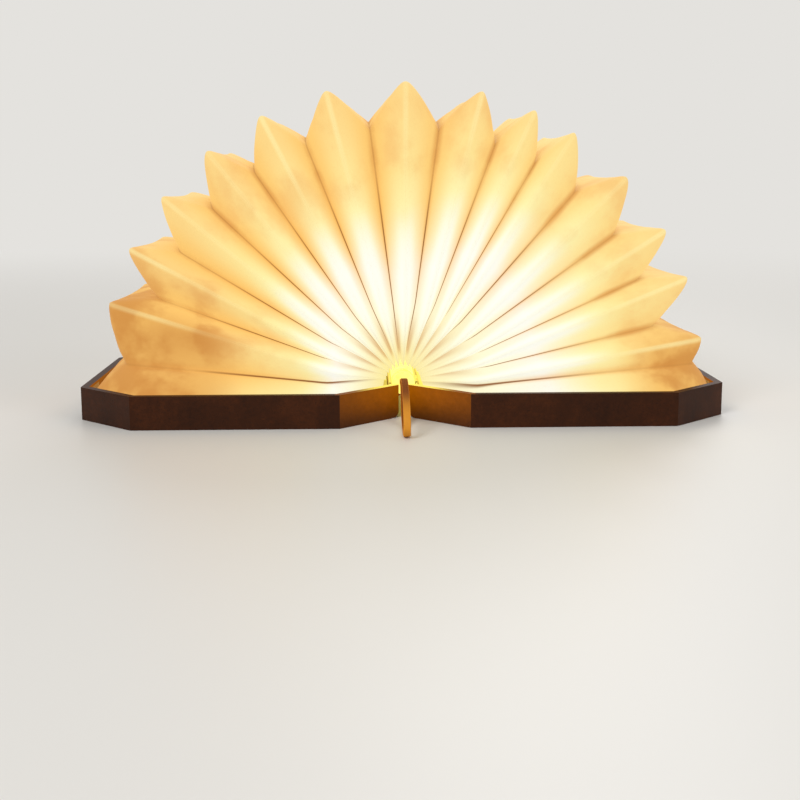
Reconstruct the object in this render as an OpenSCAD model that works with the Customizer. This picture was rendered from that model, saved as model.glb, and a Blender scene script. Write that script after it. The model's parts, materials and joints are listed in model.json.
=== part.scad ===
// Folding octagonal lamp. Two wooden tray covers turn about a lit spine bar, and a pleated
// paper shade fans out between them. Millimetres, +Z up, shown open flat on a table.
// The spine line runs along Y. The left cover is at -X, the right one at +X.

/* [Covers] */
// Width of one cover, from the spine line to its outer edge
cover_w = 122; // [105:1:150]
// Length of a cover along the spine
cover_l = 122; // [110:1:150]
// Thickness of one cover
cover_t = 12.5; // [11.5:0.1:16]
// Length of each 45 degree corner cut, along the edge
corner_cut = 22; // [18:0.5:26]
// Thickness of the rim wall
rim_wall = 3; // [2.6:0.1:4]
// Thickness of the wall along the spine
spine_wall = 3.4; // [3.2:0.1:4.5]
// Thickness of the tray floor
floor_t = 2.8; // [2:0.1:3.4]
// Width of the ledge that carries the end board
ledge_w = 1.5; // [1:0.1:2.5]
// Height of the space under the end board
inner_room = 3.7; // [3.6:0.1:4.4]
// Gap between the two spine walls while the lamp lies open
spine_gap = 3.8; // [3.6:0.1:4.6]
// Rounding of the lower edges along the spine
spine_round = 2.5; // [1:0.1:3.4]
// Gap between the two rims while the lamp is shut
shut_gap = 0.4; // [0.3:0.1:0.8]
// Thickness of the card end boards
end_board_t = 0.8; // [0.5:0.1:1.2]

/* [Light bar] */
// Outer diameter of the opal diffuser tube
tube_d = 9; // [8.6:0.1:9.6]
// Wall of the diffuser tube
tube_wall = 0.8; // [0.6:0.1:1.2]
// Number of light emitting diodes along the bar
led_count = 12; // [6:1:14]
// Length of one diode package
led_l = 2.8; // [2:0.1:3.2]
// Height of one diode package
led_h = 0.7; // [0.5:0.1:0.9]
// Width of the diode board
led_board_w = 5; // [4:0.1:5.4]
// Thickness of the circuit boards
circuit_t = 0.8; // [0.6:0.1:1]

/* [Hinges] */
// Outer radius of a hinge knuckle
knuckle_r = 4.3; // [4:0.1:4.4]
// Length of a hinge knuckle along the spine
knuckle_l = 2.2; // [1.8:0.1:2.8]
// Radius of the journal that the knuckles turn on
journal_r = 3; // [2.6:0.1:3.2]
// Radial clearance of the turning knuckles
turn_clear = 0.05; // [0.03:0.01:0.1]
// Thickness of the hinge leaf plate
leaf_t = 1.2; // [0.8:0.1:1.3]
// Length of the leaf's foot away from the spine
foot_l = 10.5; // [9.5:0.5:14]
// Width of the leaf's foot along the spine
foot_w = 8; // [6:0.5:9]
// Height of the land under the foot
land_h = 0.6; // [0.4:0.1:0.8]
// Radius of the wood screws' shanks
screw_r = 0.8; // [0.6:0.05:0.9]
// Length of the wood screws in the wood
screw_l = 2.6; // [2:0.1:2.8]

/* [Shade] */
// Gap between the outer folds and the rims at the covers' front and back
fold_gap_end = 1; // [0.8:0.1:4]
// Gap between the outer folds and the rims at the covers' outer edges
fold_gap_side = 4; // [1:0.5:8]
// Gap between the outer folds and the rims at the corner cuts
fold_gap_corner = 0.7; // [0.6:0.1:3]
// Depth of the pleats at the shade's corners
pleat_depth = 16.5; // [10:0.5:18]
// How much shallower the pleats are halfway along the outer side
pleat_relax = 0.5; // [0:0.5:6]
// Depth of the first pleat, glued to the left end board, as a share of the others
first_share = 0.55; // [0.4:0.05:1]
// Depth of the last pleat, glued to the right end board, as a share of the others
last_share = 0.25; // [0.2:0.05:1]
// Rounding of the folds' tips
tip_round = 2; // [1:0.5:4]
// How far the outer side of each fold bows out
side_bow = 0.5; // [0:0.5:8]
// How far the folds over the top sink under the paper's weight
crown_drop = 2.5; // [0:0.5:3]
// How many degrees the valleys beside the covers sag from halfway between their folds
valley_sag = 2.2; // [0:0.2:3]
// Outward bulge of the paper between two folds
petal_bulge = 1; // [0:0.1:2]
// Thickness of the paper as modelled
paper_t = 0.3; // [0.2:0.02:0.36]
// Radius of the shade's edge next to the light bar
shade_inner_r = 7; // [7:0.1:10]

/* [Electronics] */
// Length of the battery along the spine
battery_l = 50; // [36:1:56]
// Width of the battery
battery_w = 34; // [24:1:36]
// Thickness of the battery
battery_t = 3; // [2.4:0.1:3.3]
// Length of the control board along the spine
control_l = 30; // [26:1:34]
// Width of the control board
control_w = 36; // [30:1:38]
// Width of the charging socket's shell
socket_w = 8.9; // [8.6:0.1:9.2]
// Height of the charging socket's shell
socket_h = 3.2; // [3:0.1:3.3]
// Length of the charging socket's shell
socket_l = 7.3; // [6.6:0.1:8]
// Diameter of the switch magnet
switch_magnet_d = 8; // [5:0.5:10]
// Thickness of the switch magnet
switch_magnet_t = 2.5; // [1.5:0.1:3]
// Length of the bar magnets that hold the covers shut
latch_magnet_l = 12; // [8:1:20]
// Thickness of the bar magnets
latch_magnet_t = 1.8; // [1:0.1:2]
// Height of the bar magnets
latch_magnet_h = 3.6; // [2:0.1:4]

/* [Strap] */
// Width of the leather carrying strap
strap_w = 2.6; // [2:0.1:3]
// Thickness of the strap
strap_t = 0.9; // [0.6:0.1:1]

/* [Hidden] */
// Where the outer folds have settled, in degrees from the left cover over the top. The first
// and the last are glued to the end boards.
fold_angles = [0, 16, 27, 38.5, 50.5, 62.5, 75.5, 90.5, 105, 115.5, 124, 137, 149.5, 159.5, 171.5, 180];
pleat_count = len(fold_angles) - 1;

fn_round = 64;
fn_small = 24;
eps = 0.01;
over = 1;
play = 0.2;
play_axial = 0.15;
touch = 0.02;
bridge_steps = 6;
half_l = cover_l / 2;
spine_x = spine_gap / 2;
spine_in_x = spine_x + spine_wall;
spine_end = half_l - corner_cut;
axis_z = cover_t + shut_gap / 2;
ledge_z = floor_t + inner_room;
board_top = ledge_z + end_board_t;
root2 = sqrt(2);

tube_r = tube_d / 2;
tube_in_r = tube_r - tube_wall;
cove_clear = 0.3;
cove_r = max(tube_r, knuckle_r) + cove_clear;
cove_web = 1.5;
cove_end = spine_end - cove_web;
flange_t = 1;
flange_r = tube_r - 0.2;
flange_bevel = 0.4;
flange_y = cove_end - cove_clear;
knuckle_a_y = flange_y - flange_t - play_axial;
knuckle_b_y = knuckle_a_y - knuckle_l - play_axial;
tube_end = knuckle_b_y - knuckle_l - play_axial;
plug_l = 3;
sink_r = tube_in_r - play;
sink_flat = 0.6;
sink_half_l = tube_end - plug_l - play;
lead_r = 0.8;
lead_hole_r = lead_r + play;
wall_hole_r = lead_r + 0.9;
battery_lead_r = 0.6;
lead_y = -18;
lead_z = floor_t + 2.3;

leaf_x = spine_in_x + play;
leaf_drop = 1.5;
leaf_top = axis_z - leaf_drop;
foot_z = floor_t + land_h;
foot_x = leaf_x + foot_l;
screw_xs = [leaf_x + foot_l * 0.42, leaf_x + foot_l * 0.8];
screw_head_r = screw_r * 1.9;
screw_head_h = 0.7;
screw_slot_w = 0.3;
land_margin = 0.8;
board_clear = 0.7;
board_x = leaf_x + leaf_t + board_clear;

magnet_y = half_l * 0.42;
magnet_top = cover_t - 1;
socket_x = 48;
socket_in = 0.6;
socket_wall = 0.3;
socket_z = floor_t + play + socket_h / 2;
socket_tongue_w = socket_w - 2.4;
socket_tongue_t = 0.7;
hole_clear = 0.15;
reed_r = 0.8;
reed_l = 9;
control_z = ledge_z - play - 2 * reed_r - circuit_t;
control_top = control_z + circuit_t;
control_x = socket_x;
control_end_y = half_l - rim_wall - ledge_w - 1;
control_y = control_end_y - control_l / 2;
battery_wall_gap = 5;
battery_x = cover_w - rim_wall - ledge_w - battery_wall_gap - battery_w / 2;
battery_y = -6;
tab_l = 1.2;
tab_w = 6;
tab_t = battery_t * 0.6;
tab_x = -battery_x + battery_w / 2;
tab_y = battery_y + battery_l / 2 - tab_w;
reed_x = control_x + control_w * 0.25;
reed_y = control_y - control_l * 0.22;
switch_magnet_in = 0.8;

standoff_in = 3;
standoff_r = 1.8;
standoff_pin_r = 0.8;
standoff_head_h = 0.5;
chip_w = 4;
coil_d = 4;
// Small parts on the control board: [x, y, length, width, height] from its centre.
small_parts = concat(
    [[-9, -2, chip_w, chip_w, 0.9]],
    [for (i = [0 : 3]) [-13 + 2.4 * i, 7, 1.2, 2, 0.7]],
    [for (i = [0 : 2]) [6 + 2.6 * i, -4, 1.6, 0.8, 0.5]]
);

board_gap = 0.05;
glue_in = rim_wall + 0.8;
glue_start = board_x + 0.6;

anchor_l = 2;
anchor_in = 1.4;
anchor_y = -(flange_y - anchor_l - anchor_in);
anchor_z = axis_z + 0.45;
anchor_w = strap_w + 0.8;
anchor_h = 2.8;
slot_w = strap_w + 0.3;
slot_h = 2.3;

// The strap's route in the plane of the spine: [y, z].
strap_route = [
    [-34.1, 13.7], [-37, 13.7], [-39.2, 13.9], [-42, 14.9], [-46, 15.6], [-51, 15.6], [-55, 15.3],
    [-60, 14.6], [-65, 13.6], [-70, 12.3], [-74.5, 10.8], [-78.4, 8.5], [-80.8, 5.6],
    [-80.9, 3], [-78.7, 1.1], [-75, 0.55], [-70, 0.5], [-65, 0.5], [-60, 0.8],
    [-55, 2], [-50, 4.4], [-46, 7.4], [-42.6, 10.8], [-40, 12.1], [-37, 12.6], [-34.1, 12.6]
];
// The bar's lead, from the diode board down through the bar and the left spine wall.
bar_lead_route = concat(
    [for (d = [1.1, 3.1, 5.1]) [0, lead_y, axis_z - d]],
    [[-0.5, lead_y + 0.1, lead_z + 1], [-spine_x, lead_y + 0.5, lead_z + 0.1]],
    bridge([-spine_in_x + 0.8, lead_y + 1, lead_z], [-4, 0.6, 0],
        [-control_x + control_w / 2 - 4, control_y - control_l / 2 + 1, control_top + lead_r + touch],
        [-4, 20, 0])
);
// The battery's lead, from its tab to the control board.
battery_lead_route = bridge(
    [tab_x + tab_l + play / 2, tab_y + tab_w / 2, floor_t + tab_t - battery_lead_r], [6, 0, 0],
    [-control_x - control_w / 2 + 8, control_y - control_l / 2 + 1, control_top + battery_lead_r + touch],
    [2, 14, 0]);

function pleat_name(k) = str("shade_pleat_", k < 10 ? "0" : "", k);

// Octagon of a cover: x0 is its spine side, d the inset of its other sides and dc the inset
// of the two cuts beside the spine.
function cut_y(x, dc) = x + half_l - corner_cut - spine_x - dc * root2;
function octagon(x0, d, dc) =
    let (c2 = corner_cut - d * (2 - root2), xc = corner_cut + spine_x - d + dc * root2)
    let (front = [
        [x0, cut_y(x0, dc)], [xc, half_l - d],
        [cover_w - d - c2, half_l - d], [cover_w - d, half_l - d - c2]
    ])
    concat([for (p = front) [p.x, -p.y]], [for (i = [3 : -1 : 0]) front[i]]);

// Where a fold line turns outwards beside the spine: d is its inset from the covers' ends.
function front_corner(d) = [corner_cut + spine_x - d + d * root2, half_l - d];
// Radius and y add up to this on a line cut_d inside the corner cuts.
function cut_sum(cut_d) = cover_w + half_l - corner_cut - cut_d * root2;
// One fold line as [radius, y], from the spine's front end round to its rear end. It begins
// at radius start and turns at three tip points; out is how far its side bows out.
function fold_line(start, d, tips, out) =
    let (front = front_corner(d), low = tips[2].y)
    let (half = concat([[start, cut_y(start, d)], front, (front + tips[0]) / 2], tips))
    let (mid = [for (t = [-0.67, -0.33, 0, 0.33, 0.67]) [tips[2].x + out * (1 - t * t), low * t]])
    concat([for (p = half) [p.x, -p.y]], mid, [for (i = [5 : -1 : 0]) half[i]]);
// A free fold line at angle a and at the given depth below the outer folds: straight out to a
// rounded tip.
function free_fold(depth, relax, a) =
    let (d = rim_wall + fold_gap_end + depth, sunk = crown_drop * pow(sin(a), 2))
    let (side = cover_w - rim_wall - fold_gap_side - depth - side_bow - sunk)
    let (tip = [side, cut_sum(rim_wall + fold_gap_corner + depth) - side])
    let (a = tip + unit(front_corner(d) - tip) * tip_round, b = tip - [0, tip_round])
    fold_line(shade_inner_r, d, [a, (a + b + tip) / 3, b], side_bow + relax);
// The glued line follows the cover's octagon.
function glued_line(d) =
    let (side = cover_w - d)
    let (a = [cut_sum(d) - half_l + d, half_l - d], b = [side, cut_sum(d) - side])
    fold_line(glue_start, d, [a, (a + b) / 2, b], 0);

glued_fold = glued_line(glue_in);
function outer_fold(a) = free_fold(0, 0, a);
function depth_share(k) = k == 1 ? first_share : (k == pleat_count ? last_share : 1);
function valley_angle(k) =
    let (a = (fold_angles[k - 1] + fold_angles[k]) / 2) a - valley_sag * depth_share(k) * cos(a);
function valley(k) = free_fold(pleat_depth * depth_share(k), pleat_relax, valley_angle(k));

// Halfway down a pleat's slope. The paper swells fully beyond this radius.
swell_r = 60;
function flank(fold, inner) =
    [for (i = [0 : len(fold) - 1])
        let (m = (fold[i] + inner[i]) / 2)
        let (swell = petal_bulge * min(1, m.x / swell_r))
        i < 4 ? m - [0, swell] : (i > len(fold) - 5 ? m + [0, swell] : m + [swell, 0])];

// A point of the shade: radius r, place y, angle a over the top, s mm along the turn.
function fan(r, y, a, s) =
    let (turn = a + s / r * 180 / PI)
    [-r * cos(turn), y, axis_z + r * sin(turn)];
function shade_column(line, a, s) = [for (p = line) fan(p.x, p.y, a, s)];
function board_column(side, s) =
    [for (p = glued_fold) [side * p.x, p.y, board_top + paper_t / 2 + board_gap + s]];
// The valley's two surfaces meet where the offset slopes cross: s is half a thickness, turn
// the angle between a fold and the valley. They meet closer together inside this radius.
crease_r = 10;
function valley_column(inner, a, s, turn) =
    let (outer = outer_fold(a))
    [for (i = [0 : len(inner) - 1])
        let (p = inner[i], depth = p - outer[i])
        let (q = p - depth * s / (max(p.x, crease_r) * turn * PI / 180 - paper_t))
        fan(q.x, q.y, a, 0)];

// Closed skin between two grids of columns of equal size.
function skin_faces(nu, ns) =
    let (n = nu * ns)
    concat(
        [for (u = [0 : nu - 2], s = [0 : ns - 2]) each quad(u * ns + s, 1, ns)],
        [for (u = [0 : nu - 2], s = [0 : ns - 2]) each quad(n + u * ns + s, ns, 1)],
        [for (u = [0 : nu - 2]) each wall_quad(u * ns, (u + 1) * ns, n)],
        [for (u = [0 : nu - 2]) each wall_quad((u + 1) * ns + ns - 1, u * ns + ns - 1, n)],
        [for (s = [0 : ns - 2]) each wall_quad(s + 1, s, n)],
        [for (s = [0 : ns - 2]) each wall_quad((nu - 1) * ns + s, (nu - 1) * ns + s + 1, n)]
    );
function quad(a, p, q) = [[a, a + p, a + p + q], [a, a + p + q, a + q]];
function wall_quad(a, b, n) = [[a, b, b + n], [a, b + n, a + n]];

// Catmull-Rom points between the points of a route.
function spline(pts, steps) =
    let (last = len(pts) - 1)
    concat([for (i = [0 : last - 1], j = [0 : steps - 1])
        spline_point(pts[max(i - 1, 0)], pts[i], pts[i + 1], pts[min(i + 2, last)], j / steps)],
        [pts[last]]);
function spline_point(a, b, c, d, t) =
    0.5 * (2 * b + (c - a) * t + (2 * a - 5 * b + 4 * c - d) * t * t
        + (3 * b - a - 3 * c + d) * t * t * t);
// Points of a smooth bridge that leaves a along u and reaches b along v.
function bridge(a, u, b, v) =
    [for (i = [0 : bridge_steps])
        let (t = i / bridge_steps, h = t * t * (3 - 2 * t))
        a + (b - a) * h + u * t * (1 - t) * (1 - t) - v * t * t * (1 - t)];
function unit(v) = v / norm(v);
function along(pts, i) = unit(pts[min(i + 1, len(pts) - 1)] - pts[max(i - 1, 0)]);
function ring_faces(rings, sides) = concat(
    [[for (j = [0 : sides - 1]) j]],
    [for (i = [0 : rings - 2], j = [0 : sides - 1])
        [i * sides + j, (i + 1) * sides + j,
         (i + 1) * sides + (j + 1) % sides, i * sides + (j + 1) % sides]],
    [[for (j = [sides - 1 : -1 : 0]) (rings - 1) * sides + j]]
);

// Round lead swept along a route.
module lead(route, r, steps) {
    pts = spline(route, steps);
    sides = 8;
    rings = [for (i = [0 : len(pts) - 1])
        let (t = along(pts, i), n = unit(cross(t, [0.1, 0.2, 1])), b = cross(t, n))
        each [for (j = [0 : sides - 1])
            pts[i] + r * (cos(360 * j / sides) * n + sin(360 * j / sides) * b)]];
    polyhedron(rings, ring_faces(len(pts), sides), convexity = 6);
}

module mirror_copy(v) {
    children();
    mirror(v) children();
}

module stadium(w, h) {
    square([w - h, h], center = true);
    for (s = [-1, 1]) translate([s * (w - h) / 2, 0]) circle(d = h, $fn = fn_small);
}

module rounded_plate(w, l, r) {
    square([w - 2 * r, l], center = true);
    square([w, l - 2 * r], center = true);
    for (x = [-1, 1], y = [-1, 1])
        translate([x * (w / 2 - r), y * (l / 2 - r)]) circle(r, $fn = fn_small);
}

module along_y(y0, y1) {
    translate([0, y1, 0]) rotate([90, 0, 0]) linear_extrude(y1 - y0) children();
}

// Hinge feet stand on these lands: first is the y of the knuckle's end face.
function foot_y(side) = side < 0 ? knuckle_a_y : knuckle_b_y;

module lands(side) {
    for (s = [-1, 1])
        translate([spine_in_x - over, s * (foot_y(side) - foot_w / 2) - foot_w / 2 - land_margin,
            floor_t - over])
            cube([foot_x + land_margin - spine_in_x + over, foot_w + 2 * land_margin, land_h + over]);
}

// One wooden cover as it lies on the right; side -1 is the left one before mirroring.
module cover(side) {
    difference() {
        linear_extrude(cover_t) polygon(octagon(spine_x, 0, 0));
        translate([0, 0, ledge_z])
            linear_extrude(cover_t) polygon(octagon(spine_in_x, rim_wall, rim_wall));
        difference() {
            translate([0, 0, floor_t])
                linear_extrude(cover_t) polygon(octagon(spine_in_x, rim_wall + ledge_w, rim_wall));
            lands(side);
        }
        along_y(-cove_end, cove_end) translate([0, axis_z]) circle(cove_r, $fn = fn_round);
        tongue_slots(side);
        lower_edge_cut();
        latch_pockets();
        screw_holes(side);
    }
}

module tongue_slots(side) {
    y1 = foot_y(side) + play;
    y0 = foot_y(side) - knuckle_l - play;
    mirror_copy([0, 1, 0])
        translate([0, y0, leaf_top - leaf_t - play]) cube([spine_in_x + eps, y1 - y0, cover_t]);
}

module lower_edge_cut() {
    difference() {
        translate([spine_x - over, -half_l, -over])
            cube([spine_round + over, cover_l, spine_round + over]);
        along_y(-half_l - over, half_l + over) translate([spine_x + spine_round, spine_round])
            circle(spine_round, $fn = fn_round);
    }
}

module latch_pockets() {
    for (s = [-1, 1])
        translate([cover_w - rim_wall - over, s * magnet_y - latch_magnet_l / 2, magnet_top - latch_magnet_h])
            cube([latch_magnet_t + over, latch_magnet_l, latch_magnet_h]);
}

module screw_places(side) {
    for (x = screw_xs, s = [-1, 1])
        translate([x, s * (foot_y(side) - foot_w / 2), 0]) children();
}

module screw_holes(side) {
    screw_places(side) translate([0, 0, foot_z - screw_l]) cylinder(r = screw_r, h = screw_l, $fn = fn_small);
}

module left_cover() {
    color("saddlebrown") difference() {
        mirror([1, 0, 0]) cover(-1);
        along_y(half_l - rim_wall - ledge_w - over, half_l + over) translate([-socket_x, socket_z])
            stadium(socket_w + 2 * hole_clear, socket_h + 2 * hole_clear);
        translate([-spine_in_x - over, lead_y + 0.8, lead_z]) rotate([0, 90, 0])
            cylinder(r = wall_hole_r, h = spine_wall + 2 * over, $fn = fn_small);
    }
}

module right_cover() {
    color("saddlebrown") difference() {
        cover(1);
        translate([reed_x, reed_y, floor_t - switch_magnet_in])
            cylinder(d = switch_magnet_d + 0.1, h = inner_room, $fn = fn_round);
    }
}

module end_board() {
    translate([0, 0, ledge_z]) linear_extrude(end_board_t)
        polygon(octagon(board_x, rim_wall + play, rim_wall + play));
}

module left_end_board() { color("wheat") mirror([1, 0, 0]) end_board(); }
module right_end_board() { color("wheat") end_board(); }

// Light bar.
module diffuser_tube() {
    color("lightyellow") difference() {
        along_y(-tube_end, tube_end) translate([0, axis_z]) difference() {
            circle(tube_r, $fn = fn_round);
            circle(tube_in_r, $fn = fn_round);
        }
        translate([0, lead_y, axis_z - tube_r - over])
            cylinder(r = lead_hole_r, h = tube_r, $fn = fn_small);
    }
}

module bar_heat_sink() {
    color("silver") difference() {
        along_y(-sink_half_l, sink_half_l) translate([0, axis_z]) intersection() {
            circle(sink_r, $fn = fn_round);
            translate([-sink_r, -sink_r]) square([2 * sink_r, sink_r - sink_flat]);
        }
        translate([0, lead_y, axis_z - tube_r])
            cylinder(r = lead_hole_r, h = tube_r, $fn = fn_small);
    }
}

module led_board() {
    color("whitesmoke") translate([-led_board_w / 2, -sink_half_l, axis_z - sink_flat])
        cube([led_board_w, 2 * sink_half_l, circuit_t]);
}

module led_packages() {
    pitch = 2 * (sink_half_l - led_l) / (led_count - 1);
    color("yellow") for (i = [0 : led_count - 1])
        translate([-led_l / 2, (i - (led_count - 1) / 2) * pitch - led_l / 4, axis_z - sink_flat + circuit_t])
            cube([led_l, led_l / 2, led_h]);
}

// End cap as at the rear end: plug in the tube, journal for the knuckles, flange outside.
module end_cap() {
    translate([0, 0, axis_z]) rotate([-90, 0, 0]) rotate_extrude($fn = fn_round)
        polygon([
            [0, tube_end - plug_l], [tube_in_r, tube_end - plug_l], [tube_in_r, tube_end],
            [journal_r, tube_end], [journal_r, flange_y - flange_t],
            [flange_r, flange_y - flange_t], [flange_r, flange_y - flange_bevel],
            [flange_r - flange_bevel, flange_y], [0, flange_y]
        ]);
}

module rear_end_cap() { color("lightyellow") end_cap(); }

module front_end_cap() {
    color("lightyellow") difference() {
        mirror([0, 1, 0]) end_cap();
        translate([-slot_w / 2, -flange_y - over, anchor_z - slot_h / 2])
            cube([slot_w, flange_y + anchor_y + over + eps, slot_h]);
        translate([-anchor_w / 2, anchor_y, anchor_z - anchor_h / 2])
            cube([anchor_w, anchor_l, anchor_h]);
    }
}

module strap_anchor() {
    color("goldenrod") translate([-anchor_w / 2, anchor_y, anchor_z - anchor_h / 2])
        cube([anchor_w, anchor_l, anchor_h]);
}

// Flat strap: its width lies along X, and its ends meet the anchor.
module carry_strap() {
    pts = spline(strap_route, 2);
    w = strap_w / 2;
    t = strap_t / 2;
    section = [[w, t * 0.4], [w * 0.8, t], [-w * 0.8, t], [-w, t * 0.4],
        [-w, -t * 0.4], [-w * 0.8, -t], [w * 0.8, -t], [w, -t * 0.4]];
    rings = [for (i = [0 : len(pts) - 1])
        let (d = i == 0 ? [-1, 0] : (i == len(pts) - 1 ? [1, 0] : along(pts, i)))
        each [for (q = section) [q.x, pts[i].x - d.y * q.y, pts[i].y + d.x * q.y]]];
    color("sienna") polyhedron(rings, ring_faces(len(pts), len(section)), convexity = 6);
}

// Hinge leaf for the right cover's front end; y1 is the knuckle's outer end.
module hinge_leaf(y1, bore) {
    difference() {
        union() {
            along_y(y1 - knuckle_l, y1) {
                translate([0, axis_z]) circle(knuckle_r, $fn = fn_round);
                translate([journal_r, leaf_top - leaf_t]) square([leaf_x + leaf_t - journal_r, leaf_t]);
                translate([leaf_x, foot_z]) square([leaf_t, leaf_top - foot_z]);
            }
            translate([leaf_x, y1 - foot_w, foot_z]) cube([foot_l, foot_w, leaf_t]);
        }
        along_y(y1 - knuckle_l - over, y1 + over) translate([0, axis_z]) circle(bore, $fn = fn_round);
        for (x = screw_xs)
            translate([x, y1 - foot_w / 2, foot_z - over])
                cylinder(r = screw_r + play, h = leaf_t + 2 * over, $fn = fn_small);
    }
}

module left_rear_hinge_leaf() {
    color("gray") mirror([1, 0, 0]) hinge_leaf(knuckle_a_y, journal_r);
}
module left_front_hinge_leaf() {
    color("gray") mirror([1, 0, 0]) mirror([0, 1, 0]) hinge_leaf(knuckle_a_y, journal_r);
}
module right_rear_hinge_leaf() {
    color("darkgray") hinge_leaf(knuckle_b_y, journal_r + turn_clear);
}
module right_front_hinge_leaf() {
    color("darkgray") mirror([0, 1, 0]) hinge_leaf(knuckle_b_y, journal_r + turn_clear);
}

module hinge_screws(side) {
    screw_places(side) {
        translate([0, 0, foot_z - screw_l]) cylinder(r = screw_r, h = screw_l + leaf_t, $fn = fn_small);
        translate([0, 0, foot_z + leaf_t]) difference() {
            cylinder(r1 = screw_head_r, r2 = screw_head_r * 0.8, h = screw_head_h, $fn = fn_small);
            for (a = [0, 90]) rotate(a)
                translate([-screw_head_r / 2, -screw_slot_w / 2, screw_head_h - screw_slot_w])
                    cube([screw_head_r, screw_slot_w, over]);
        }
    }
}

module left_hinge_screws() { color("dimgray") mirror([1, 0, 0]) hinge_screws(-1); }
module right_hinge_screws() { color("dimgray") hinge_screws(1); }

// Electronics in the left tray.
module battery_cell() {
    color("lightsteelblue") {
        translate([-battery_x, battery_y, floor_t])
            linear_extrude(battery_t) rounded_plate(battery_w, battery_l, 1.5);
        translate([tab_x - eps, tab_y, floor_t]) cube([tab_l + eps, tab_w, tab_t]);
    }
}

module control_outline() {
    difference() {
        rounded_plate(control_w, control_l, 1);
        translate([0, control_l / 2]) square([socket_w + play, 2 * (socket_l - standoff_in)], center = true);
    }
}

module standoff_places() {
    for (x = [-1, 1])
        translate([-control_x + x * (control_w / 2 - standoff_in), control_y - control_l / 2, 0])
            translate([0, standoff_in, 0]) children();
}

module control_board() {
    color("darkgreen") difference() {
        translate([-control_x, control_y, control_z]) linear_extrude(circuit_t) control_outline();
        standoff_places() cylinder(r = standoff_pin_r, h = cover_t, $fn = fn_small);
    }
}

// Charging chip, coil, capacitors and resistors.
module control_parts() {
    color("black") translate([-control_x, control_y, control_top]) {
        translate([8, 2, 0]) cylinder(d = coil_d, h = 1.2, $fn = fn_small);
        for (p = small_parts) translate([p[0], p[1], 0]) cube([p[2], p[3], p[4]]);
    }
}

module control_standoffs() {
    color("wheat") standoff_places() {
        translate([0, 0, floor_t]) cylinder(r = standoff_r, h = control_z - floor_t, $fn = fn_small);
        translate([0, 0, floor_t]) cylinder(r = standoff_pin_r, h = control_top - floor_t, $fn = fn_small);
        translate([0, 0, control_top]) cylinder(r = standoff_r * 0.8, h = standoff_head_h, $fn = fn_small);
    }
}

module charging_socket() {
    y1 = half_l - socket_in;
    color("silver") {
        along_y(y1 - socket_l, y1) translate([-socket_x, socket_z]) difference() {
            stadium(socket_w, socket_h);
            stadium(socket_w - 2 * socket_wall, socket_h - 2 * socket_wall);
        }
        along_y(y1 - socket_l, y1 - socket_l + 1) translate([-socket_x, socket_z])
            stadium(socket_w - socket_wall, socket_h - socket_wall);
        along_y(y1 - socket_l, y1 - 1) translate([-socket_x, socket_z])
            square([socket_tongue_w, socket_tongue_t], center = true);
    }
}

module reed_switch() {
    color("lightgreen") translate([-reed_x, reed_y, control_top + reed_r]) rotate([0, 90, 0])
        translate([0, 0, -reed_l / 2]) cylinder(r = reed_r, h = reed_l, $fn = fn_small);
}

module bar_lead() { color("red") lead(bar_lead_route, lead_r, 3); }
module battery_lead() { color("red") lead(battery_lead_route, battery_lead_r, 3); }

module switch_magnet() {
    color("silver") translate([reed_x, reed_y, floor_t - switch_magnet_in])
        cylinder(d = switch_magnet_d, h = switch_magnet_t, $fn = fn_round);
}

module latch_magnets() {
    for (s = [-1, 1])
        translate([cover_w - rim_wall, s * magnet_y - latch_magnet_l / 2, magnet_top - latch_magnet_h])
            cube([latch_magnet_t, latch_magnet_l, latch_magnet_h]);
}

module left_latch_magnets() { color("silver") mirror([1, 0, 0]) latch_magnets(); }
module right_latch_magnets() { color("silver") latch_magnets(); }

// One pleat of the shade: out from fold k-1, in to the valley, and out again to fold k.
module shade_pleat(k) {
    a0 = fold_angles[k - 1];
    a1 = fold_angles[k];
    am = valley_angle(k);
    h = paper_t / 2;
    before = k == 1 ? glued_fold : outer_fold(a0);
    after = k == pleat_count ? glued_fold : outer_fold(a1);
    inner = valley(k);
    function columns(s) = [
        k == 1 ? board_column(-1, s) : shade_column(before, a0, paper_t + s),
        shade_column(flank(before, inner), (a0 + am) / 2, s),
        valley_column(inner, am, s, (a1 - a0) / 2),
        shade_column(flank(after, inner), (a1 + am) / 2, -s),
        k == pleat_count ? board_column(1, s) : shade_column(after, a1, -paper_t - s)
    ];
    near = columns(h);
    far = columns(-h);
    color("navajowhite")
        polyhedron([for (g = [near, far], c = g, p = c) p],
            skin_faces(len(near), len(inner)), convexity = 8);
}

left_cover();
right_cover();
left_end_board();
right_end_board();
diffuser_tube();
bar_heat_sink();
led_board();
led_packages();
front_end_cap();
rear_end_cap();
strap_anchor();
carry_strap();
left_front_hinge_leaf();
left_rear_hinge_leaf();
right_front_hinge_leaf();
right_rear_hinge_leaf();
left_hinge_screws();
right_hinge_screws();
battery_cell();
battery_lead();
control_board();
control_parts();
control_standoffs();
charging_socket();
reed_switch();
bar_lead();
switch_magnet();
left_latch_magnets();
right_latch_magnets();
for (k = [1 : pleat_count]) shade_pleat(k);
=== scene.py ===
"""Looks of the folding book lamp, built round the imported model. Blender works in metres. Sizes are
in millimetres where a name ends in _mm, and MM turns millimetres into metres."""

import json
import math

import bpy
import numpy as np
from mathutils import Matrix, Vector, noise


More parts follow.
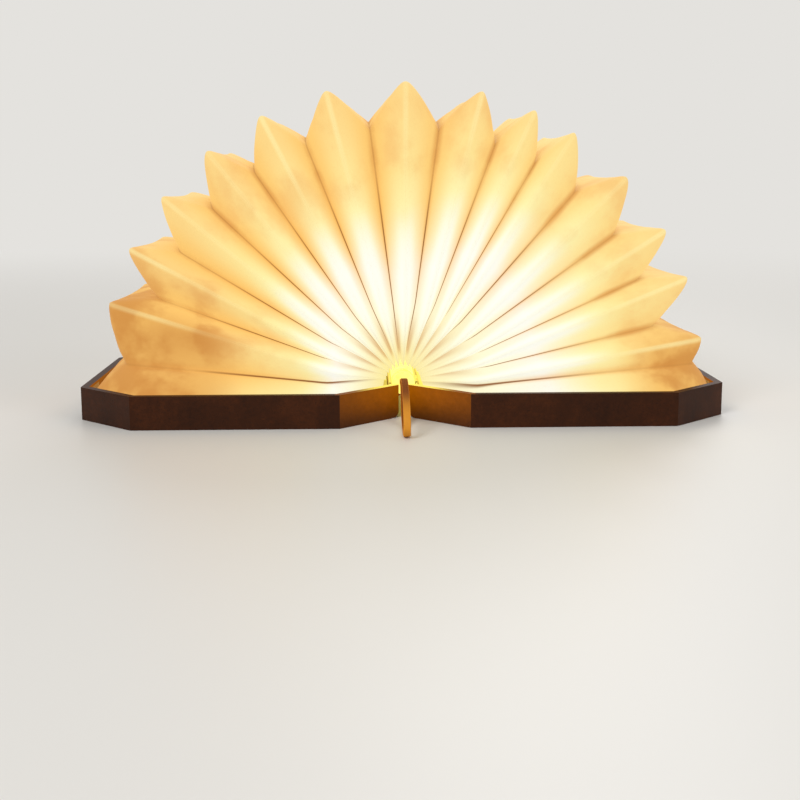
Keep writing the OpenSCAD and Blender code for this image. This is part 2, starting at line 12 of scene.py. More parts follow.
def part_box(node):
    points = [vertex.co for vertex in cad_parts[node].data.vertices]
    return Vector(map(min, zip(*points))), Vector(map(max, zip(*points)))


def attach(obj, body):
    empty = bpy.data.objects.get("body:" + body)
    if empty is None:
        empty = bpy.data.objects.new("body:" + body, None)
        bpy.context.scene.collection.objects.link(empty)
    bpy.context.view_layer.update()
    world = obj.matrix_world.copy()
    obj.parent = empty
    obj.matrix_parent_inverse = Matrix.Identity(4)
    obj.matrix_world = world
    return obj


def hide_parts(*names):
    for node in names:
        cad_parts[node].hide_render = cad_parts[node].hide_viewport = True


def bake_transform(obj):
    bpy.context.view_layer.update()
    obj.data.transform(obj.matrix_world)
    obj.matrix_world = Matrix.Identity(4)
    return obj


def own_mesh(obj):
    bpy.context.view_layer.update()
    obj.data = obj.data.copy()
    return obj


MM = 0.001
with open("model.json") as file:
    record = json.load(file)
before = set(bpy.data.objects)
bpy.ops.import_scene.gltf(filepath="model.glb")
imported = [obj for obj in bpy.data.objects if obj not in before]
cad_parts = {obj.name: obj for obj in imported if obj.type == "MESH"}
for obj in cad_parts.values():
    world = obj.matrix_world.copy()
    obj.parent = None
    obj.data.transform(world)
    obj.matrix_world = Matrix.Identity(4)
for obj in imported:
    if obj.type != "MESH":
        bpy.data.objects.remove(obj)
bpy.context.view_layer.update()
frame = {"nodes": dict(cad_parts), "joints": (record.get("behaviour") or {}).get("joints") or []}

# ---------------------------------------------------------------- camera

LENS_MM = 58.5
SENSOR_MM = 36.0
CAMERA_PLACE = (-0.0143, -0.5262, 0.0935)
CAMERA_PITCH = 0.1764
CAMERA_YAW = -0.0265
CAMERA_ROLL = -0.0033


def make_camera():
    data = bpy.data.cameras.new("camera")
    data.lens = LENS_MM
    data.sensor_width = SENSOR_MM
    cam = bpy.data.objects.new("camera", data)
    bpy.context.scene.collection.objects.link(cam)
    turn = (
        Matrix.Rotation(CAMERA_YAW, 4, "Z")
        @ Matrix.Rotation(math.pi / 2 - CAMERA_PITCH, 4, "X")
        @ Matrix.Rotation(CAMERA_ROLL, 4, "Z")
    )
    cam.matrix_world = Matrix.Translation(CAMERA_PLACE) @ turn
    bpy.context.scene.camera = cam


# ---------------------------------------------------------------- paint


def linear(red, green, blue):
    """An 8 bit screen colour as linear light."""
    def one(v):
        v /= 255
        return v / 12.92 if v <= 0.04045 else ((v + 0.055) / 1.055) ** 2.4
    return (one(red), one(green), one(blue), 1.0)


class Paint:
    """A material's node tree, with short calls for the nodes that the materials below share."""

    def __init__(self, name, **inputs):
        self.material = bpy.data.materials.new(name)
        self.material.use_nodes = True
        self.tree = self.material.node_tree
        self.tree.nodes.clear()
        self.shader = self.tree.nodes.new("ShaderNodeBsdfPrincipled")
        self.out = self.tree.nodes.new("ShaderNodeOutputMaterial")
        self.tree.links.new(self.shader.outputs[0], self.out.inputs[0])
        self.set(**inputs)

    def set(self, **inputs):
        """Values or sockets for the shader's inputs."""
        for name, value in inputs.items():
            self.plug(self.shader.inputs[name.replace("_", " ")], value)

    def plug(self, socket, value):
        if isinstance(value, bpy.types.NodeSocket):
            self.tree.links.new(value, socket)
        else:
            socket.default_value = value

    def node(self, kind, inputs=(), out=0, **settings):
        """One output of a new node."""
        n = self.tree.nodes.new("ShaderNode" + kind)
        for key, value in settings.items():
            setattr(n, key, value)
        for key, value in dict(inputs).items():
            self.plug(n.inputs[key], value)
        return n.outputs[out]

    def math(self, operation, *values):
        return self.node("Math", dict(enumerate(values)), operation=operation)

    def chain(self, operation, values):
        total, *rest = values
        for value in rest:
            total = self.math(operation, total, value)
        return total

    def times(self, *values):
        return self.chain("MULTIPLY", values)

    def add(self, *values):
        return self.chain("ADD", values)

    def most(self, *values):
        return self.chain("MAXIMUM", values)

    def step(self, value, low, high, to_low=0.0, to_high=1.0):
        """Goes smoothly from to_low to to_high as the value goes from low to high."""
        inputs = {0: value, 1: low, 2: high, 3: to_low, 4: to_high}
        return self.node("MapRange", inputs, interpolation_type="SMOOTHSTEP")

    def mix(self, share, a, b, blend="MIX"):
        """Colour a with that share of colour b over it."""
        inputs = {0: share, 6: a, 7: b}
        return self.node("Mix", inputs, out=2, data_type="RGBA", blend_type=blend)

    def ramp(self, value, stops):
        """A colour that goes through stops of (place, colour)."""
        n = self.tree.nodes.new("ShaderNodeValToRGB")
        self.plug(n.inputs[0], value)
        while len(n.color_ramp.elements) < len(stops):
            n.color_ramp.elements.new(0.5)
        for element, (place, colour) in zip(n.color_ramp.elements, stops):
            element.position = place
            element.color = colour
        return n.outputs[0]

    def level(self, value, stops):
        """A number that goes through stops of (place, number)."""
        return self.ramp(value, [(place, (v, v, v, 1.0)) for place, v in stops])

    def coords(self, scale=(1, 1, 1)):
        place = self.node("TexCoord", out="Object")
        return self.node("Mapping", {"Vector": place, "Scale": scale})

    def attribute(self, name):
        return self.node("Attribute", out="Vector", attribute_name=name)

    def split(self, vector):
        """The x, y and z of a vector."""
        return tuple(self.node("SeparateXYZ", {0: vector}).node.outputs)

    def noise(self, vector, scale, detail=3.0, roughness=0.5, distortion=0.0):
        inputs = {
            "Vector": vector, "Scale": scale, "Detail": detail,
            "Roughness": roughness, "Distortion": distortion,
        }
        return self.node("TexNoise", inputs)

    def tones(self, marks, dark, light):
        """Mottling between two colours."""
        return self.ramp(marks, [(0.3, dark), (0.7, light)])

    def bump(self, height, strength, depth_mm):
        inputs = {"Strength": strength, "Distance": depth_mm * MM, "Height": height}
        self.set(Normal=self.node("Bump", inputs))


AXIS_Z = frame["joints"][0]["pos_m"][2]
BAR_GLOW = linear(140, 74, 0)
BAR_LIGHT = linear(250, 226, 96)


def from_bar(p, far, near):
    """1 near the light bar, fading to 0 at the far distance in metres."""
    inputs = {0: p.coords((1, 0, 1)), 1: (0, 0, AXIS_Z)}
    gap = p.node("VectorMath", inputs, out="Value", operation="DISTANCE")
    return p.step(gap, far, near)


# ---------------------------------------------------------------- wood

WALNUT_DARK = linear(40, 18, 6)
WALNUT_MID = linear(56, 26, 8)
WALNUT_LIGHT = linear(76, 37, 13)
WALNUT_PORE = linear(34, 17, 8)
# Where the lit faces beside the spine fade out, as distances from the lamp's middle.
SPINE_WALL_FADE = (7 * MM, 6 * MM)
CORNER_FACE_FADE = (26.2 * MM, 25 * MM)
CORNER_FACE_DIM = (4 * MM, 30 * MM)


def paint_walnut():
    """Oiled walnut with its grain along the spine. The lamp lights the 45 degree faces beside the
    spine and the insides of the rims."""
    p = Paint("walnut", Roughness=0.5, Specular_IOR_Level=0.12)
    figure = p.noise(p.coords((1.0, 0.09, 0.8)), 70.0, 4.0, 0.55, 0.9)
    fine = p.noise(p.coords((1.0, 0.03, 1.0)), 620.0, 3.0, 0.6, 0.2)
    pores = p.noise(p.coords((1.0, 0.04, 1.0)), 1700.0, 2.0, 0.6)
    tone = p.add(p.times(figure, 0.65), p.times(fine, 0.35))
    wood = p.ramp(tone, [(0.28, WALNUT_DARK), (0.52, WALNUT_MID), (0.76, WALNUT_LIGHT)])
    open_pore = p.step(pores, 0.57, 0.68)
    p.set(Base_Color=p.mix(p.times(open_pore, 0.5), wood, WALNUT_PORE))
    p.bump(p.add(open_pore, p.times(fine, -0.6)), 0.25, 0.12)
    light_walnut(p, tone)
    return p.material


def light_walnut(p, tone):
    """The lamp's light on the wood: bright yellow close to the bar, brown further off."""
    x, y, z = p.split(p.node("TexCoord", out="Object"))
    nx, ny, nz = p.split(p.node("TexCoord", out="Normal"))
    from_spine = p.math("ABSOLUTE", x)
    sideways = p.math("ABSOLUTE", nx)
    upward = p.step(nz, 0.3, 0.6)
    inward = p.add(p.times(x, nx), p.times(y, ny))
    inside = p.step(inward, -0.005, -0.02)

    corner = p.step(p.times(sideways, p.math("ABSOLUTE", ny)), 0.3, 0.46)
    near = p.times(
        p.step(from_spine, *CORNER_FACE_DIM, 1.0, 0.42), p.step(from_spine, *CORNER_FACE_FADE)
    )
    corner = p.times(p.most(corner, upward), near)
    wall = p.times(p.step(sideways, 0.8, 0.95), p.step(from_spine, *SPINE_WALL_FADE))
    wall = p.times(wall, from_bar(p, 14.5 * MM, 4 * MM))
    outside = p.times(p.most(corner, wall), p.step(z, -2 * MM, 12 * MM, 0.1, 1.1))

    hot = p.times(p.most(inside, upward), from_bar(p, 20 * MM, 9 * MM))
    hot = p.most(hot, p.times(wall, from_bar(p, 10.5 * MM, 3 * MM)))
    lit = p.most(outside, p.times(inside, 0.8), p.times(hot, 0.9))
    p.set(Emission_Color=p.mix(hot, BAR_GLOW, BAR_LIGHT))
    p.set(Emission_Strength=p.times(lit, p.add(0.55, tone)))


# ---------------------------------------------------------------- paper

# The lit paper's colours outwards along a fold, by share of the radius.
GLOW_STOPS = [
    (0.07, linear(250, 236, 168)),
    (0.13, linear(251, 240, 188)),
    (0.26, linear(255, 252, 222)),
    (0.42, linear(255, 254, 243)),
    (0.51, linear(255, 251, 212)),
    (0.62, linear(255, 243, 176)),
    (0.74, linear(255, 230, 152)),
    (0.95, linear(253, 216, 137)),
]
# How far in the bright zone ends, and how deep the painted amber shade in the valleys is, over the
# turn from the left cover to the right one.
REACH_STOPS = [
    (0.00, 0.78), (0.08, 0.78), (0.15, 0.70), (0.21, 0.58),
    (0.34, 0.54), (0.50, 0.56), (0.64, 0.44), (0.90, 0.45),
]
HOLLOW_SHADE_STOPS = [(0.45, 1.0), (0.62, 0.7), (0.78, 0.5), (0.90, 0.25)]
GLOW_AMBER = linear(244, 188, 98)
# Painted shade colour in the hollows of the pleats.
GLOW_HOLLOW_SHADE = linear(252, 202, 112)
# Painted shade colour for the cloudy darker places and the grooves; the paper's fibres also darken
# towards it.
GLOW_SHADE_AND_FIBRE = linear(204, 134, 60)
# Painted shade colour for the dim haze outside the bright zone.
GLOW_DIM_SHADE = linear(242, 180, 102)
# Painted shade colour for the soft edge beside each valley.
GLOW_SOFT_SHADE = linear(246, 178, 88)
# Painted highlight colours: pools of light inside the folds, and a streak along each fold.
GLOW_HIGHLIGHT_POOL = linear(255, 255, 244)
GLOW_RIDGE_HIGHLIGHT = linear(255, 240, 172)
# Painted shade colour for each valley's crease line.
GLOW_CREASE_SHADE = linear(150, 92, 40)
GLOW_STRENGTH = 0.82
# How much of its glow's colour the paper has of its own, in light from outside.
PAPER_SHARE = (0.2, 0.2, 0.2, 1.0)


def paint_paper():
    """Lit shade paper."""
    p = Paint("shade_paper", Roughness=0.82, Specular_IOR_Level=0.2, Sheen_Weight=0.08)
    m = PaperMaps(p)
    glow = glow_zones(p, m)
    glow = glow_shade_clouds(p, m, glow)
    glow = glow_fold_highlights(p, m, glow)
    glow = glow_valleys(p, m, glow)
    # the paper's own fibres, a little darker
    glow = p.mix(p.times(p.step(m.fibre, 0.5, 0.8), 0.07), glow, GLOW_SHADE_AND_FIBRE)
    p.set(Base_Color=p.mix(1.0, glow, PAPER_SHARE, "MULTIPLY"))
    p.set(Emission_Color=glow, Emission_Strength=GLOW_STRENGTH)
    p.bump(p.add(p.times(m.fibre, 0.3), m.clouds), 0.3, 0.5)
    return p.material


class PaperMaps:
    """What the glow is painted from. It follows the places stored on the mesh: crease holds the
    distances from the fold and from the valley in millimetres, reach the shares of the radius and
    of the turn, and rest the place before any movement."""

    def __init__(self, p):
        self.from_fold, self.from_valley, _ = p.split(p.attribute("crease"))
        self.radius, self.turn, _ = p.split(p.attribute("reach"))
        rest = p.attribute("rest")
        self.clouds = p.noise(rest, 44.0, 4.0, 0.55)
        self.wide = p.noise(rest, 18.0, 2.0, 0.5, 0.2)
        self.fibre = p.noise(rest, 1100.0, 3.0, 0.6)
        reach = p.math("SUBTRACT", p.level(self.turn, REACH_STOPS), 0.5)
        self.side = p.times(reach, p.step(self.radius, 0.06, 0.34))
        self.low_left = p.times(p.step(self.turn, 0.19, 0.08), p.step(self.radius, 0.45, 0.72))
        low_right = p.times(p.step(self.turn, 0.9, 0.97), p.step(self.radius, 0.68, 0.85))
        self.low = p.most(self.low_left, low_right)
        # 0 in the valley and 1 on the fold
        whole = p.add(self.from_valley, self.from_fold, 0.01)
        self.share = p.math("DIVIDE", self.from_valley, whole)


def glow_zones(p, m):
    """The bright zone, the dimmer amber light low beside the covers and painted shade in the hollows
    of the pleats.
    """
    drift = p.times(p.math("SUBTRACT", m.wide, 0.5), 0.22)
    glow = p.ramp(p.add(m.radius, drift, m.side), GLOW_STOPS)
    glow = p.mix(p.times(m.low, 0.9), glow, GLOW_AMBER)
    # painted shade in the hollows of the pleats
    pleat_shade = p.times(
        p.step(m.share, 0.95, 0.0), p.step(m.radius, 0.1, 0.62), p.level(m.turn, HOLLOW_SHADE_STOPS)
    )
    return p.mix(pleat_shade, glow, GLOW_HOLLOW_SHADE)


def glow_shade_clouds(p, m, glow):
    """Painted shade in cloudy darker places: dimples of shade near the valleys' ends, a dim haze
    outside the bright zone, heavier shade low down, and one broad shaded patch low on the left."""
    # painted shade near the valleys' ends
    valley_end_shade = p.times(
        p.step(m.radius, 0.62, 0.76), p.step(m.radius, 0.92, 0.84), p.step(m.from_valley, 4.5, 0.5)
    )
    glow = p.mix(p.times(valley_end_shade, p.step(m.clouds, 0.3, 0.6, 0.1, 0.7)), glow, GLOW_SHADE_AND_FIBRE)

    # painted shade in clouds, heavier low down
    shade_noise = p.add(m.clouds, p.times(m.low, 0.06))
    cloud_shade = p.times(
        p.step(shade_noise, 0.45, 0.68),
        p.step(p.add(m.radius, m.side), 0.52, 0.8),
        p.add(0.45, p.times(m.low, 0.3)),
    )
    glow = p.mix(cloud_shade, glow, p.mix(m.low, GLOW_DIM_SHADE, GLOW_SHADE_AND_FIBRE))

    # painted shade in a broad patch low on the left
    low_left_shade = p.times(
        p.step(m.turn, 0.105, 0.07),
        p.step(m.radius, 0.5, 0.66),
        p.step(m.radius, 0.9, 0.76, 0.25, 1.0),
        p.step(m.wide, 0.3, 0.62, 0.3, 0.85),
    )
    return p.mix(low_left_shade, glow, GLOW_SHADE_AND_FIBRE)


def glow_fold_highlights(p, m, glow):
    """Painted highlights: white pools of light inside the folds in the bright zone, and a light
    streak on each fold.
    """
    # painted highlight: a pool of light inside the fold
    highlight_pool = p.times(
        p.step(m.share, 0.5, 0.95),
        p.step(m.radius, 0.12, 0.3),
        p.step(p.add(m.radius, m.side), 0.66, 0.46),
    )
    glow = p.mix(p.times(highlight_pool, 0.75), glow, GLOW_HIGHLIGHT_POOL)
    # painted highlight: a streak along the fold
    ridge_highlight = p.times(
        p.step(m.from_fold, 1.7, 0.0),
        p.step(m.wide, 0.35, 0.62, 0.3, 1.0),
        p.step(m.radius, 0.45, 0.95, 0.1, 0.62),
    )
    return p.mix(ridge_highlight, glow, GLOW_RIDGE_HIGHLIGHT)


def glow_valleys(p, m, glow):
    """Painted shade in the valleys: each valley's dark line of shade and its soft edge, and the
    shaded grooves near the light bar.
    """
    # painted shade, soft, beside each valley
    soft_valley_shade = p.times(
        p.step(m.from_valley, 3.2, 0.0),
        p.step(m.radius, 0.95, 0.6, 0.0, 0.5),
        p.step(m.radius, 0.15, 0.5),
    )
    glow = p.mix(soft_valley_shade, glow, GLOW_SOFT_SHADE)
    groove = p.times(
        p.step(m.share, 0.75, 0.35),
        p.step(m.radius, 0.27, 0.12, 0.0, 0.5),
        p.step(m.radius, 0.07, 0.11),
        p.times(p.step(m.turn, 0.05, 0.1), p.step(m.turn, 0.98, 0.93)),
    )
    glow = p.mix(groove, glow, GLOW_SHADE_AND_FIBRE)
    # the painted shade line narrows towards the bar, and fades outwards and beside the covers
    apart = p.times(m.from_valley, p.step(m.radius, 0.12, 0.5, 0.22, 1.0))
    line = p.times(
        p.step(apart, 0.95, 0.25),
        p.step(m.radius, 0.08, 0.25, 0.2, 1.0),
        p.step(m.radius, 0.45, 0.72, 0.95, 0.3),
        p.step(p.times(m.turn, m.radius), 0.3, 0.65, 1.0, 0.45),
        p.step(p.times(m.low_left, m.radius), 0.4, 0.7, 1.0, 0.4),
    )
    return p.mix(line, glow, GLOW_CREASE_SHADE)


# ---------------------------------------------------------------- other materials


def paint_opal():
    """Lit opal plastic of the light bar."""
    p = Paint("opal", Roughness=0.35, Base_Color=linear(196, 176, 96))
    p.set(Specular_IOR_Level=0.4, Subsurface_Weight=0.1)
    cloud = p.noise(p.coords(), 260.0, 3.0, 0.5)
    glow = p.tones(cloud, linear(250, 238, 96), linear(252, 246, 140))
    p.set(Emission_Color=glow, Emission_Strength=0.85)
    p.bump(cloud, 0.1, 0.1)
    return p.material


def paint_leather():
    """Thin brown strap leather with burnished, lighter edges, lit where it bends over the table."""
    p = Paint("strap_leather", Roughness=0.7, Specular_IOR_Level=0.15)
    edge, along, _ = p.split(p.attribute("strap"))
    rest = p.attribute("rest")
    pores = p.noise(rest, 2600.0, 4.0, 0.6)
    cells = p.node("TexVoronoi", {"Vector": rest, "Scale": 2200.0}, feature="DISTANCE_TO_EDGE")
    hide = p.tones(pores, linear(96, 44, 8), linear(138, 70, 14))
    hide = p.mix(p.step(edge, 0.7, 0.98), hide, linear(178, 98, 22))
    bow = p.times(p.step(along, 0.3, 0.46), p.step(along, 0.75, 0.56))
    p.set(Base_Color=p.mix(p.times(bow, 0.75), hide, linear(236, 160, 52)))
    p.bump(p.add(p.times(cells, 2.0), pores), 0.3, 0.08)
    return p.material


def paint_card():
    """Pale card, lit by the bar."""
    p = Paint("end_card", Roughness=0.8)
    flecks = p.noise(p.coords(), 700.0, 4.0, 0.6)
    p.set(Base_Color=p.tones(flecks, linear(206, 172, 116), linear(226, 196, 142)))
    lit_by = p.times(from_bar(p, 22 * MM, 10 * MM), 0.8)
    p.set(Emission_Color=BAR_LIGHT, Emission_Strength=lit_by)
    p.bump(flecks, 0.2, 0.1)
    return p.material


def paint_metal(name, dark, light, roughness, scale=(1, 1, 1), lit=False):
    """Metal with brushed or cast mottling between two tones, lit by the bar where it is near."""
    p = Paint(name, Metallic=1.0)
    if lit:
        lit_by = p.times(from_bar(p, 22 * MM, 12 * MM), 0.85)
        p.set(Emission_Color=BAR_LIGHT, Emission_Strength=lit_by)
    marks = p.noise(p.coords(scale), 900.0, 4.0, 0.6)
    p.set(Base_Color=p.tones(marks, dark, light))
    p.set(Roughness=p.step(marks, 0.2, 0.8, roughness * 0.8, roughness * 1.25))
    p.bump(marks, 0.12, 0.05)
    return p.material


def paint_plain(name, dark, light, roughness, fine=600.0, **inputs):
    """Moulded or coated surface with faint mottling between two tones."""
    p = Paint(name, Roughness=roughness, **inputs)
    marks = p.noise(p.coords(), fine, 4.0, 0.6)
    p.set(Base_Color=p.tones(marks, dark, light))
    p.bump(marks, 0.15, 0.05)
    return p.material


def paint_circuit(name, board, trace):
    """Circuit board with faint traces under its mask."""
    p = Paint(name, Roughness=0.4)
    inputs = {
        "Vector": p.coords(), "Color1": board, "Color2": trace, "Mortar": board, "Scale": 420.0,
        "Mortar Size": 0.06, "Mortar Smooth": 0.1, "Brick Width": 1.6, "Row Height": 0.5,
    }
    p.set(Base_Color=p.node("TexBrick", inputs))
    p.bump(p.noise(p.coords(), 800.0), 0.1, 0.03)
    return p.material


BRUSHED_ALONG_X = (1, 6, 1)
DRAWN_ALONG_Y = (1, 0.1, 1)


def dress_frame():
    """Gives every CAD node that stays in view its material."""
    leaves = [f"{s}_{e}_hinge_leaf" for s in ("left", "right") for e in ("front", "rear")]
    finishes = [
        (
            paint_metal(
                "hinge_steel", linear(120, 118, 114), linear(164, 162, 158), 0.36,
                BRUSHED_ALONG_X, lit=True,
            ),
            leaves + ["left_hinge_screws", "right_hinge_screws"],
        ),
        (paint_walnut(), ["left_cover", "right_cover"]),
        (paint_card(), ["left_end_board", "right_end_board"]),
        (paint_opal(), ["diffuser_tube", "front_end_cap", "rear_end_cap"]),
        (
            paint_metal(
                "heat_sink", linear(150, 152, 155), linear(188, 190, 192), 0.4, DRAWN_ALONG_Y
            ),
            ["bar_heat_sink"],
        ),
        (
            paint_circuit("circuit_white", linear(224, 222, 214), linear(206, 202, 190)),
            ["led_board"],
        ),
        (
            paint_plain("diode", linear(238, 210, 84), linear(246, 226, 120), 0.35),
            ["led_packages"],
        ),
        (
            paint_metal("anchor_brass", linear(176, 132, 62), linear(208, 168, 92), 0.3),
            ["strap_anchor"],
        ),
        (
            paint_plain(
                "battery_foil", linear(168, 174, 182), linear(196, 200, 206), 0.3, 300.0,
                Metallic=0.7,
            ),
            ["battery_cell"],
        ),
        (
            paint_plain("lead_jacket", linear(150, 28, 22), linear(176, 42, 32), 0.45),
            ["battery_lead", "bar_lead"],
        ),
        (
            paint_circuit("circuit", linear(22, 78, 44), linear(34, 104, 60)),
            ["control_board"],
        ),
        (
            paint_plain("chip_black", linear(24, 24, 26), linear(40, 40, 42), 0.5),
            ["control_parts"],
        ),
        (
            paint_plain("standoff", linear(222, 214, 196), linear(236, 230, 214), 0.5),
            ["control_standoffs"],
        ),
        (
            paint_metal("socket_steel", linear(168, 168, 170), linear(206, 206, 208), 0.28),
            ["charging_socket"],
        ),
        (
            paint_plain("reed_glass", linear(150, 190, 160), linear(180, 212, 186), 0.15, 300.0),
            ["reed_switch"],
        ),
        (
            paint_metal("magnet", linear(150, 148, 144), linear(190, 188, 184), 0.25),
            ["switch_magnet", "left_latch_magnets", "right_latch_magnets"],
        ),
    ]
    for material, names in finishes:
        for name in names:
            node = frame["nodes"][name]
            node.data.materials.clear()
            node.data.materials.append(material)


# ---------------------------------------------------------------- covers

EDGE_ROUND = 0.5 * MM
EDGE_LEAST_TURN = math.radians(30)
WELD_GAP = 0.001 * MM


def soften_covers():
    """Rounds the wooden covers' edges, as sanding does."""
    for name in ("left_cover", "right_cover"):
        node = frame["nodes"][name]
        weld = node.modifiers.new("weld", "WELD")
        weld.merge_threshold = WELD_GAP
        bevel = node.modifiers.new("bevel", "BEVEL")
        bevel.width = EDGE_ROUND
        bevel.segments = 3
        bevel.limit_method = "ANGLE"
        bevel.angle_limit = EDGE_LEAST_TURN


# ---------------------------------------------------------------- mesh helpers


def mesh_piece(name, points, faces, material, smooth=True):
    data = bpy.data.meshes.new(name)
    data.from_pydata([tuple(p) for p in points], [], [tuple(f) for f in faces])
    data.update()
    data.materials.append(material)
    data.polygons.foreach_set("use_smooth", [smooth] * len(data.polygons))
    piece = bpy.data.objects.new(name, data)
    bpy.context.scene.collection.objects.link(piece)
    return piece


def store(piece, name, vectors):
    """Keeps a vector for each point of the mesh, for the materials to read."""
    layer = piece.data.attributes.new(name, "FLOAT_VECTOR", "POINT")
    layer.data.foreach_set("vector", np.asarray(vectors, np.float32).ravel())


def grid_faces(rows, columns):
    """Quads between neighbouring rows of points."""
    return [
        (a, a + 1, a + columns + 1, a + columns)
        for r in range(rows - 1)
        for a in range(r * columns, r * columns + columns - 1)
    ]


# ---------------------------------------------------------------- shade

COVER_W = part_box("right_cover")[1].x
HALF_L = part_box("right_cover")[1].y
SPINE_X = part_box("right_cover")[0].x
PAPER_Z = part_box("right_end_board")[1].z + 0.2 * MM
CORNER_CUT = 22 * MM
RIM_WALL = 3 * MM
FOLD_GAP_END = 1 * MM
FOLD_GAP_SIDE = 4 * MM
FOLD_GAP_CORNER = 0.7 * MM
PLEAT_DEPTH = 16.5 * MM
PLEAT_RELAX = 0.5 * MM
# The first and last pleats are glued down on one side and are that share as deep.
FIRST_SHARE = 0.55
LAST_SHARE = 0.25
SIDE_BOW = 0.5 * MM
SIDE_SINK = 2 * MM
SIDE_STOPS = (-0.67, -0.33, 0, 0.33, 0.67)
VALLEY_RISE = 3 * MM
TIP_ROUND = 2 * MM
CROWN_DROP = 2.5 * MM
# How far valleys sag from halfway between their folds, in degrees, and how much more the first
# does.
VALLEY_SAG = 2.2
FIRST_SAG = 2.4
GLUE_IN = RIM_WALL + 0.8 * MM
GLUE_START = 8 * MM
SHADE_INNER_R = 7 * MM
SHADE_R = COVER_W - RIM_WALL - FOLD_GAP_SIDE
PAPER_T = 0.22 * MM
FOLD_ANGLES = [
    0, 16, 27, 38.5, 50.5, 62.5, 75.5, 90.5,
    105, 115.5, 124, 137, 149.5, 159.5, 171.5, 180,
]
PLEAT_COUNT = len(FOLD_ANGLES) - 1

STATION_GAP = 2.2 * MM
SLOPE_STEPS = 13
# Points crowd towards the fold by this power.
SLOPE_CROWDING = 1.25
# The slopes bulge by this share within that share of the radius, and are rounded at the fold.
FRONT_BULGE = 0.2
BULGE_POWER = 2.4
BULGE_REACH = 0.82
BULGE_FADE = 0.3
FOLD_ROUNDING = 0.13
PETAL_PUFF = 0.45 * MM
PUFF_POWER = 1.2
PUFF_FROM = 60 * MM
PUFF_TO = 100 * MM
PUFF_FADE = 30 * MM
WAVE_HEIGHT = 0.55 * MM
WAVE_COARSE = 55
WAVE_FINE = 140
WAVE_FADE_MM = 4


def front_corner(inset):
    """Where a fold line turns outwards beside the spine, as (radius, y)."""
    return np.array([CORNER_CUT + SPINE_X - inset + inset * math.sqrt(2), HALF_L - inset])


def cut_sum(inset):
    """Radius and y add up to this on a line that far inside the corner cuts."""
    return COVER_W + HALF_L - CORNER_CUT - inset * math.sqrt(2)


def fold_line(start, inset, tips, out):
    """Corner points of one fold line as (radius, y), as in the CAD source."""
    front = front_corner(inset)
    first = np.array([start, start + HALF_L - CORNER_CUT - SPINE_X - inset * math.sqrt(2)])
    half = np.array([first, front, (front + tips[0]) / 2, *tips])
    side_x, low = tips[2]
    middle = [(side_x + out * (1 - t * t), low * t) for t in SIDE_STOPS]
    return np.concatenate([half * (1, -1), middle, half[::-1]])


def free_fold(depth, relax, degrees):
    """A free fold line at that turn and depth below the outer folds: straight to a rounded tip.
    Between the tips the limp paper flattens a little: outer folds sink in and valleys rise."""
    inset = RIM_WALL + FOLD_GAP_END + depth
    side = SHADE_R - depth - SIDE_BOW - CROWN_DROP * math.sin(math.radians(degrees)) ** 2
    tip = np.array([side, cut_sum(RIM_WALL + FOLD_GAP_CORNER + depth) - side])
    back = front_corner(inset) - tip
    a = tip + back / np.linalg.norm(back) * TIP_ROUND
    b = tip - (0, TIP_ROUND)
    limp = VALLEY_RISE if depth else -SIDE_SINK
    return fold_line(SHADE_INNER_R, inset, [a, (a + b + tip) / 3, b], SIDE_BOW + relax + limp)


def glued_line():
    """The glued line follows the cover's octagon."""
    side = COVER_W - GLUE_IN
    a = np.array([cut_sum(GLUE_IN) - HALF_L + GLUE_IN, HALF_L - GLUE_IN])
    b = np.array([side, cut_sum(GLUE_IN) - side])
    return fold_line(GLUE_START, GLUE_IN, [a, (a + b) / 2, b], 0)


def stations(line, steps):
    """Points along a line of corners, steps[i] of them between corners i and i + 1, and smoothed
    once."""
    rows = [
        line[i] + (line[i + 1] - line[i]) * (j / n)
        for i, n in enumerate(steps)
        for j in range(n)
    ]
    rows = np.array(rows + [line[-1]])
    rows[1:-1] = (rows[:-2] + 2 * rows[1:-1] + rows[2:]) / 4
    return rows


def valley_turns():
    """Each valley's turn in degrees and its share of a whole pleat's depth."""
    shares = [FIRST_SHARE] + [1.0] * (PLEAT_COUNT - 2) + [LAST_SHARE]
    middles = [(a + b) / 2 for a, b in zip(FOLD_ANGLES, FOLD_ANGLES[1:])]
    turns = [
        (a - VALLEY_SAG * share * math.cos(math.radians(a)), share)
        for a, share in zip(middles, shares)
    ]
    first, share = turns[0]
    return [(first - FIRST_SAG, share)] + turns[1:]


def shade_lines():
    """The lines of the folds and of the valleys, the first and last folds being glued, at matching
    stations."""
    lengths = np.linalg.norm(np.diff(free_fold(0, 0, 0), axis=0), axis=1)
    steps = [max(1, round(float(d) / STATION_GAP)) for d in lengths]
    glued = [glued_line()]
    folds = glued + [free_fold(0, 0, a) for a in FOLD_ANGLES[1:-1]] + glued
    valleys = [free_fold(PLEAT_DEPTH * share, PLEAT_RELAX, a) for a, share in valley_turns()]
    return tuple([stations(line, steps) for line in lines] for lines in (folds, valleys))


def slope_depths(turn_share, radius):
    """Share of the depth over the turn from a fold to a valley."""
    bulge = FRONT_BULGE * min(1.0, max(0.0, (BULGE_REACH - radius / SHADE_R) / BULGE_FADE))
    depth = (1 - bulge) * turn_share + bulge * turn_share**BULGE_POWER
    depth = np.sqrt(depth**2 + FOLD_ROUNDING**2) - FOLD_ROUNDING
    return depth / depth[-1]


